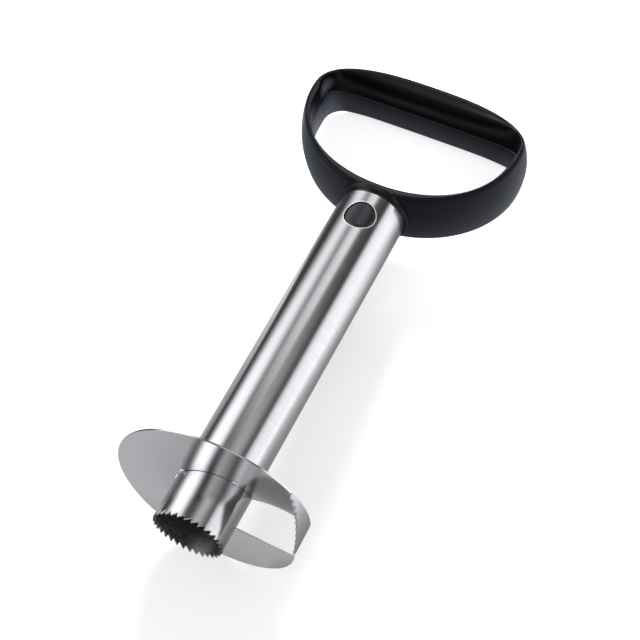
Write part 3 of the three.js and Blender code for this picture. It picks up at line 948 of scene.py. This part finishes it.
def loop_point(loop, angle, inset=0.0):
    """A point of a D's outline: two half ovals of their own reach and squareness."""
    half_width, low_reach, high_reach, (low_shape, high_shape) = loop
    across, up = math.cos(angle), math.sin(angle)
    reach, shape = (low_reach, low_shape) if up < 0 else (high_reach, high_shape)
    size = (abs(across) ** shape + abs(up) ** shape) ** (-1 / shape)
    point = Vector((half_width * across * size, reach * up * size))
    outward = Vector((
        math.copysign((abs(across) * size) ** (shape - 1), across) / half_width,
        math.copysign((abs(up) * size) ** (shape - 1), up) / reach))
    return point - outward.normalized() * inset


def outer_loop(handle):
    return handle.half_width, handle.depth, handle.rise, OUTER_SHAPES


def inner_loop(handle):
    return (handle.half_width - handle.side, handle.depth - handle.base,
            handle.rise - handle.bar, INNER_SHAPES)


def loop_ring(handle, place):
    """A ring round the D, from a function that gives each angle's point and its place across."""
    ring = []
    for i in range(LOOP_STEPS):
        point, across = place(2 * math.pi * i / LOOP_STEPS)
        ring.append(Vector((point.x, across, handle.middle + point.y)))
    return ring


def cover_stations(handle):
    """The cover's section: crowned outside, rounded edges, and a flat inner face."""
    half = handle.band_half - COVER_SET_BACK
    flat = half - COVER_EDGE_REACH

    def crown(across):
        return COVER_CROWN * (across / half) ** 2

    edge = []
    for angle in quarter(CROWN_STEPS)[1:]:
        across = flat + COVER_EDGE_REACH * math.sin(angle)
        edge.append((across, crown(across) + COVER_EDGE_DEPTH * (1 - math.cos(angle))))
    middle = [(flat * (2 * share - 1), crown(flat * (2 * share - 1)))
              for share in shares(CROWN_STEPS)]
    near = [(-across, inset) for across, inset in reversed(edge)]
    inner = [(half, handle.cover), (0, handle.cover), (-half, handle.cover)]
    return near + middle + edge + inner


def core_places(handle):
    """Functions that give the core's rings: its rounded hole from crease to rims, its back."""
    inner, outer = inner_loop(handle), outer_loop(handle)
    depth = handle.cover + SEAT_GAP

    def hole(side, turn):
        def place(angle):
            near, far = loop_point(inner, angle), loop_point(outer, angle, depth)
            wall = (far - near).length
            reach = min(CORE_ROUND_SHARE * wall, CORE_ROUND_LIMIT)
            if side > 0:
                upper = min(max(math.sin(angle) / BAR_BLEND, 0), 1)
                reach += (handle.band_half - CREASE_OFFSET - CREASE_FLAT - reach) * upper
            across = handle.band_half - reach + reach * math.sin(turn)
            sunk = (wall - CORE_RIM_FLAT) * (1 - math.cos(turn))
            return near.lerp(far, sunk / wall), side * across
        return place

    turns = quarter(CROWN_STEPS + 2)
    crease = [lambda angle: (loop_point(inner, angle, CORE_CREASE), CREASE_OFFSET)]
    front = [hole(1, turn) for turn in turns]
    back = [hole(-1, turn) for turn in reversed(turns)]
    outside = [lambda angle, across=across: (loop_point(outer, angle, depth), across)
               for across in (handle.band_half, 0, -handle.band_half)]
    return crease + front + outside + back


class SLICER_OT_grip_cover(bpy.types.Operator):
    """Build the soft grip cover and its collar"""

    bl_idname = "slicer.grip_cover"
    bl_label = "Grip cover"

    def execute(self, context):
        settings = context.scene.slicer
        handle = settings.handle
        loop = outer_loop(handle)
        sections = [
            loop_ring(handle, lambda angle, a=across, i=inset: (loop_point(loop, angle, i), a))
            for across, inset in cover_stations(handle)]
        band = finished("grip_band", skin(sections, closed=True), soft_plastic(settings.finish))
        carried(band, "slicer", "grip_cover")
        snug = settings.tube.radius + COLLAR_SNUG
        radius = settings.tube.radius + SEAT_GAP + handle.collar_wall
        face = handle.collar_face
        top = face + handle.collar_height
        corner = [(radius - COLLAR_EDGE * (1 - math.sin(angle)),
                   COLLAR_EDGE * (1 - math.cos(angle))) for angle in quarter(CROWN_STEPS)]
        profile = [(snug, top), (snug, face)]
        profile += [(reach, face + rise) for reach, rise in corner]
        profile += [(reach, top - rise) for reach, rise in reversed(corner)]
        profile.append(profile[0])
        collar = finished("grip_collar", turned(profile, AXIS_Z, COLLAR_STEPS),
                          collar_plastic(settings.finish), sharp=50)
        carried(collar, "slicer", "grip_cover")
        return {"FINISHED"}


class SLICER_OT_handle_core(bpy.types.Operator):
    """Build the handle's glossy core and the plug in the tube"""

    bl_idname = "slicer.handle_core"
    bl_label = "Handle core"

    def execute(self, context):
        settings = context.scene.slicer
        handle, button = settings.handle, settings.button
        material = gloss_plastic(settings.finish)
        sections = [loop_ring(handle, place) for place in core_places(handle)]
        core = finished("handle_core_loop", skin(sections, closed=True), material, sharp=20)
        carried(core, "slicer", "handle_core")
        plug_radius = settings.tube.radius - settings.tube.wall - PLUG_CLEARANCE
        plug_top = settings.tube.end + SEAT_GAP
        profile = [(0, PLUG_END), (plug_radius - PLUG_CHAMFER, PLUG_END),
                   (plug_radius, PLUG_END + PLUG_CHAMFER), (plug_radius, plug_top), (0, plug_top)]
        plug = finished("handle_plug", turned(profile, AXIS_Z, PLUG_STEPS), material)
        chamber = button.flange_radius + SEAT_GAP
        bore = button.radius + SEAT_GAP
        pocket = [(0, POCKET_FOOT), (chamber, POCKET_FOOT), (chamber, POCKET_LIP),
                  (bore, POCKET_LIP), (bore, POCKET_TOP), (0, POCKET_TOP)]
        pockets = []
        for side in (1, -1):
            profile = [(reach, side * out) for reach, out in pocket]
            form = at_hole(turned(profile, AXIS_Y, POCKET_STEPS), settings.tube)
            pockets.append(finished("pocket", form, None))
        cut(plug, pockets)
        carried(plug, "slicer", "handle_core")
        return {"FINISHED"}


# The buttons and springs

BUTTON_INSET = 0.1
BUTTON_EDGE = 0.8
BUTTON_EDGE_RINGS = 4
BUTTON_RINGS = 6
BUTTON_STEPS = 72
BUTTON_FACE_FROM = 1
PILOT_RADIUS = 1.6
PILOT_FOOT = 7.75
COIL_FOOT = 3.3
COIL_STEPS = 24
WIRE_SIDES = 10


class SLICER_OT_buttons(bpy.types.Operator):
    """Build the two push buttons, whose faces follow the tube"""

    bl_idname = "slicer.buttons"
    bl_label = "Push buttons"

    def execute(self, context):
        settings = context.scene.slicer
        button, tube = settings.button, settings.tube
        material = button_plastic(settings.finish)
        face_radius = tube.radius - BUTTON_INSET
        stem = [(0, PILOT_FOOT), (PILOT_RADIUS, PILOT_FOOT), (PILOT_RADIUS, button.flange_foot),
                (button.flange_radius, button.flange_foot),
                (button.flange_radius, button.flange_top), (button.radius, button.flange_top)]
        rim = [(button.radius - BUTTON_EDGE * (1 - math.cos(angle)),
                face_radius - BUTTON_EDGE * (1 - math.sin(angle)))
               for angle in quarter(BUTTON_EDGE_RINGS)]
        face = [((button.radius - BUTTON_EDGE) * (1 - share), face_radius)
                for share in shares(BUTTON_RINGS)[1:]]
        for side, name, body in ((1, "front_button_cap", "front_button"),
                                 (-1, "back_button_cap", "back_button")):
            bm = turned(stem + rim + face, AXIS_Y, BUTTON_STEPS)
            for vert in bm.verts:
                if vert.co.y > button.flange_top + BUTTON_FACE_FROM:
                    across = min(abs(vert.co.x), face_radius)
                    vert.co.y -= face_radius - math.sqrt(face_radius ** 2 - across ** 2)
            piece = finished(name, at_hole(bm, tube, side), material, sharp=40)
            carried(piece, body, body)
        return {"FINISHED"}


class SLICER_OT_springs(bpy.types.Operator):
    """Wind the two button springs"""

    bl_idname = "slicer.springs"
    bl_label = "Button springs"

    def execute(self, context):
        settings = context.scene.slicer
        button, tube = settings.button, settings.tube
        material = wire_steel(settings.finish)
        height = button.flange_foot - SEAT_GAP - COIL_FOOT - button.wire
        steps = int(button.coil_turns * COIL_STEPS)
        for side, name, presser in ((1, "front_spring", "front_button"),
                                    (-1, "back_spring", "back_button")):
            bm = bmesh.new()
            bmesh.ops.create_circle(bm, cap_ends=True, segments=WIRE_SIDES, radius=button.wire / 2)
            place = (button.coil_radius, COIL_FOOT + button.wire / 2, 0)
            bmesh.ops.translate(bm, vec=place, verts=bm.verts)
            bmesh.ops.spin(bm, geom=bm.verts[:] + bm.edges[:] + bm.faces[:], cent=(0, 0, 0),
                           axis=AXIS_Y, dvec=(0, height / steps, 0),
                           angle=2 * math.pi * button.coil_turns, steps=steps,
                           use_merge=False, use_duplicate=False)
            piece = finished(name + "_coil", at_hole(bm, tube, side), material, sharp=60)
            carried(piece, "slicer", name, pressed_by=presser)
        return {"FINISHED"}


# The studio

FLOOR_HALF = 3.0
KEY_DIRECTION = Vector((-0.36, 0.72, 0.50))
KEY_DISTANCE = 1.5
KEY_SIZE = 0.45
KEY_POWER = 17.0
AMBIENT = (0.60, 0.605, 0.62)
WHITE = (1.0, 1.0, 1.0)

# What the camera's rays add to the floor: from and to where on Y, and how much there. It
# rises towards +Y as painted light, which pales the handle's shadow there.
FLOOR_LIFT_Y = (0.0, 0.07)
FLOOR_LIFT = (0.46, 0.72)

# What the steel mirrors. The world's rows are soft boxes with dark between them, as long strips
# beside the tool: each row's share of the view along the tube, then azimuths about the tube's
# axis, in degrees, and brightness. The floor's rows are its y, then x and brightness: a glowing
# pattern that mirrored rays see in place of the lit floor, with painted shade where the tool, its
# shadow and dark surroundings would be mirrored, and painted light in a few patches.
MIRROR_TINT = (1.0, 0.995, 1.025)
WORLD_SPAN = (-180, 180)
WORLD_ROWS = (
    (-0.95, ((-180, 0.06), (180, 0.06))),
    (-0.76, ((-180, 0.22), (180, 0.22))),
    (-0.42, (
        (-180, 1.1), (-90, 0.45), (-10, 0.3), (0, 0.5), (8, 0.7), (15, 2.1), (22, 3.6),
        (30, 4.4), (50, 4.6), (60, 2.9), (67, 1.1), (73, 0.1), (84, 0.1), (91, 0.6),
        (98, 1.2), (105, 1.2), (113, 0.9), (127, 0.55), (136, 0.15), (143, 0.2), (152, 0.8),
        (163, 1.9), (180, 1.3))),
    (0.0, ((-180, 0.5), (180, 0.5))),
    (0.38, (
        (-180, 1.5), (-150, 1.0), (-90, 0.5), (-10, 0.12), (8, 0.3), (15, 1.1), (22, 1.95),
        (30, 2.4), (52, 2.2), (60, 1.25), (67, 0.27), (74, 0.0), (88, 0.0), (98, 0.46),
        (106, 0.9), (117, 0.8), (128, 0.35), (139, 0.08), (146, 1.2), (158, 1.7), (180, 1.7))),
    (0.50, (
        (-180, 1.95), (-150, 1.2), (-90, 0.5), (-10, 0.12), (8, 0.25), (16, 0.6), (24, 1.1),
        (34, 1.5), (46, 1.4), (56, 0.75), (65, 0.4), (72, 0.95), (78, 1.4), (94, 1.55),
        (101, 0.5), (108, 0.12), (132, 0.06), (139, 0.1), (147, 1.3), (158, 1.75),
        (180, 1.95))),
)
FLOOR_SPAN = (-0.5, 0.5)
FLOOR_MIDDLE_RIGHT = (
    (0.0, 0.34), (0.02, 0.34), (0.03, 0.44), (0.04, 0.66), (0.05, 0.95), (0.06, 1.2),
    (0.08, 1.45), (0.11, 1.75), (0.17, 1.95))
FLOOR_FAR_LEFT = ((-0.3, 0.07), (-0.085, 0.08))
FLOOR_FAR_RIGHT = ((-0.04, 0.03), (0.035, 0.03), (0.06, 0.9), (0.1, 1.6), (0.2, 1.9))
FLOOR_ROWS = (
    (-0.16, (
        (-0.5, 0.2), (-0.25, 0.42), (-0.1, 0.6), (-0.06, 0.75), (-0.035, 0.58), (0.0, 0.65),
        (0.02, 0.85), (0.05, 1.1))),
    (-0.128, (
        (-0.4, 0.4), (-0.2, 0.42), (-0.14, 0.55), (-0.1, 0.68), (-0.05, 0.73), (0.0, 0.62),
        (0.03, 0.6), (0.05, 0.52), (0.07, 0.45), (0.12, 0.65), (0.17, 0.85), (0.28, 1.1),
        (0.5, 1.4))),
    (-0.119, (
        (-0.4, 0.3), (-0.2, 0.3), (-0.14, 0.42), (-0.1, 0.6), (-0.05, 0.68), (0.0, 0.56),
        (0.024, 0.55), (0.034, 0.15), (0.05, 0.15), (0.067, 0.26), (0.1, 0.4), (0.17, 0.6),
        (0.28, 1.05), (0.5, 1.4))),
    (-0.105, (
        (-0.4, 0.1), (-0.2, 0.12), (-0.14, 0.32), (-0.1, 0.55), (-0.05, 0.63), (0.0, 0.42),
        (0.02, 0.42), (0.05, 0.27), (0.09, 0.33), (0.12, 0.45), (0.17, 0.8), (0.28, 1.25),
        (0.5, 1.5))),
    (-0.02, (
        (-0.26, 0.08), (-0.17, 0.25), (-0.12, 0.5), (-0.06, 0.65), (-0.03, 0.5), (0.0, 0.36),
        (0.03, 0.38), (0.06, 0.75), (0.1, 1.0), (0.17, 1.4), (0.3, 1.8))),
    (0.035, (
        (-0.28, 0.1), (-0.12, 0.9), (-0.055, 1.1), (-0.035, 0.5), *FLOOR_MIDDLE_RIGHT)),
    (0.05, (
        (-0.24, 0.12), (-0.09, 0.17), (-0.068, 0.32), (-0.05, 0.48), (-0.03, 0.5),
        *FLOOR_MIDDLE_RIGHT)),
    (0.085, (*FLOOR_FAR_LEFT, (-0.062, 0.15), (-0.045, 0.08), *FLOOR_FAR_RIGHT)),
    (0.097, (
        *FLOOR_FAR_LEFT, (-0.066, 0.12), (-0.052, 0.2), (-0.046, 0.1), *FLOOR_FAR_RIGHT)),
    (0.106, (
        *FLOOR_FAR_LEFT, (-0.066, 0.3), (-0.052, 0.6), (-0.046, 0.1), *FLOOR_FAR_RIGHT)),
)


def mirrored_level(tree, across, along, rows, span):
    """A brightness in two directions: a ramp for each row, blended from row to row."""
    level, last = None, None
    share = ranged(tree, across, *span)
    for place, stops in rows:
        ramp = new_node(tree, "ShaderNodeValToRGB", Fac=share)
        marks = ramp.color_ramp.elements
        while len(marks) < len(stops):
            marks.new(0.5)
        for mark, (at, bright) in zip(marks, stops):
            mark.position = (at - span[0]) / (span[1] - span[0])
            mark.color = (*(bright * part for part in MIRROR_TINT), 1)
        row = ramp.outputs["Color"]
        level = mixed(tree, ranged(tree, along, last, place), level, row) if level else row
        last = place
    return level


def studio_world():
    """White to the camera, striped where it is mirrored and even for all other light."""
    world = bpy.data.worlds.new("Studio")
    bpy.context.scene.world = world
    world.use_nodes = True
    tree = world.node_tree
    path = tree.nodes.new("ShaderNodeLightPath").outputs
    x, y, z = axes(tree, tool_coordinates(tree, "Generated", (0, 0, 0)))
    azimuth = math_node(tree, "DEGREES", math_node(tree, "ARCTAN2", y, x))
    level = mirrored_level(tree, azimuth, z, WORLD_ROWS, WORLD_SPAN)
    lit = mixed(tree, path["Is Glossy Ray"], AMBIENT, level)
    fed(tree, tree.nodes["Background"], Color=mixed(tree, path["Is Camera Ray"], lit, WHITE))


def floor_material(finish):
    """A pale floor that goes to white where nothing shades it, and paler towards +Y as painted
    light; mirrored rays see a glowing pattern of painted shade and light instead.
    """
    material, tree, shader = start_material("Floor")
    path = tree.nodes.new("ShaderNodeLightPath").outputs
    x, y = axes(tree, tree.nodes.new("ShaderNodeTexCoord").outputs["Object"])[:2]
    # Painted light: the floor is lifted more towards +Y, paling the shadow near the handle
    painted_floor_light = ranged(tree, y, *FLOOR_LIFT_Y, *FLOOR_LIFT)
    fed(tree, shader, Base_Color=finish.floor, Roughness=0.9, Specular_IOR_Level=0.0,
        Emission_Color=WHITE,
        Emission_Strength=math_node(tree, "MULTIPLY", path["Is Camera Ray"], painted_floor_light))
    # Painted shade and light: what mirrored rays see of the floor, dark where the tool and its
    # shadow would be mirrored
    mirrored = new_node(tree, "ShaderNodeEmission",
                        Color=mirrored_level(tree, x, y, FLOOR_ROWS, FLOOR_SPAN))
    mix = new_node(tree, "ShaderNodeMixShader", Fac=path["Is Glossy Ray"])
    for node, socket in ((shader, mix.inputs[1]), (mirrored, mix.inputs[2]),
                         (mix, tree.nodes["Material Output"].inputs["Surface"])):
        tree.links.new(node.outputs[0], socket)
    return material


class SLICER_OT_stage(bpy.types.Operator):
    """Set up the floor, the light and the camera"""

    bl_idname = "slicer.stage"
    bl_label = "Stage"

    def execute(self, context):
        scene = context.scene
        bm = bmesh.new()
        bmesh.ops.create_grid(bm, x_segments=1, y_segments=1, size=FLOOR_HALF)
        mesh = bpy.data.meshes.new("floor")
        bm.to_mesh(mesh)
        bm.free()
        mesh.materials.append(floor_material(scene.slicer.finish))
        placed("floor", mesh)
        studio_world()
        lamp = bpy.data.lights.new("key", "AREA")
        lamp.shape = "DISK"
        lamp.size = KEY_SIZE
        lamp.energy = KEY_POWER
        key = placed("key", lamp, KEY_DIRECTION.normalized() * KEY_DISTANCE,
                     KEY_DIRECTION.to_track_quat("Z", "Y").to_euler())
        key.visible_glossy = False
        lens = bpy.data.cameras.new("camera")
        lens.lens = CAMERA_LENS
        lens.sensor_width = 36
        lens.clip_start = 0.01
        turn = Euler([math.radians(angle) for angle in CAMERA_TURN_DEG]).to_matrix()
        scene.camera = placed("camera", lens, TOOL_TO_FRAME @ CAMERA_PLACE_MM,
                              (TOOL_TURN.to_matrix() @ turn).to_euler())
        scene.view_settings.view_transform = "Standard"
        return {"FINISHED"}


class SLICER_PT_panel(bpy.types.Panel):
    """The slicer's steps and sizes in the sidebar"""

    bl_idname = "SLICER_PT_panel"
    bl_label = "Pineapple Slicer"
    bl_space_type = "VIEW_3D"
    bl_region_type = "UI"
    bl_category = "Slicer"

    def draw(self, context):
        for operator in STEPS:
            self.layout.operator(operator.bl_idname)
        settings = context.scene.slicer
        for group in (settings.blade, settings.tube, settings.handle, settings.button,
                      settings.finish):
            box = self.layout.box()
            for name in group.__annotations__:
                box.prop(group, name)


STEPS = (
    SLICER_OT_core_tube,
    SLICER_OT_spiral_blade,
    SLICER_OT_grip_cover,
    SLICER_OT_handle_core,
    SLICER_OT_buttons,
    SLICER_OT_springs,
    SLICER_OT_stage,
)
GROUPS = (SlicerBladeSizes, SlicerTubeSizes, SlicerHandleSizes, SlicerButtonSizes,
          SlicerFinishes, SlicerSettings)


def register():
    for item in (*GROUPS, *STEPS, SLICER_PT_panel):
        bpy.utils.register_class(item)
    bpy.types.Scene.slicer = PointerProperty(type=SlicerSettings)


def unregister():
    del bpy.types.Scene.slicer
    for item in reversed((*GROUPS, *STEPS, SLICER_PT_panel)):
        bpy.utils.unregister_class(item)


def main():
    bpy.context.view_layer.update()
    register()
    for operator in STEPS:
        group, name = operator.bl_idname.split(".")
        getattr(getattr(bpy.ops, group), name)()


if __name__ == "__main__":
    main()
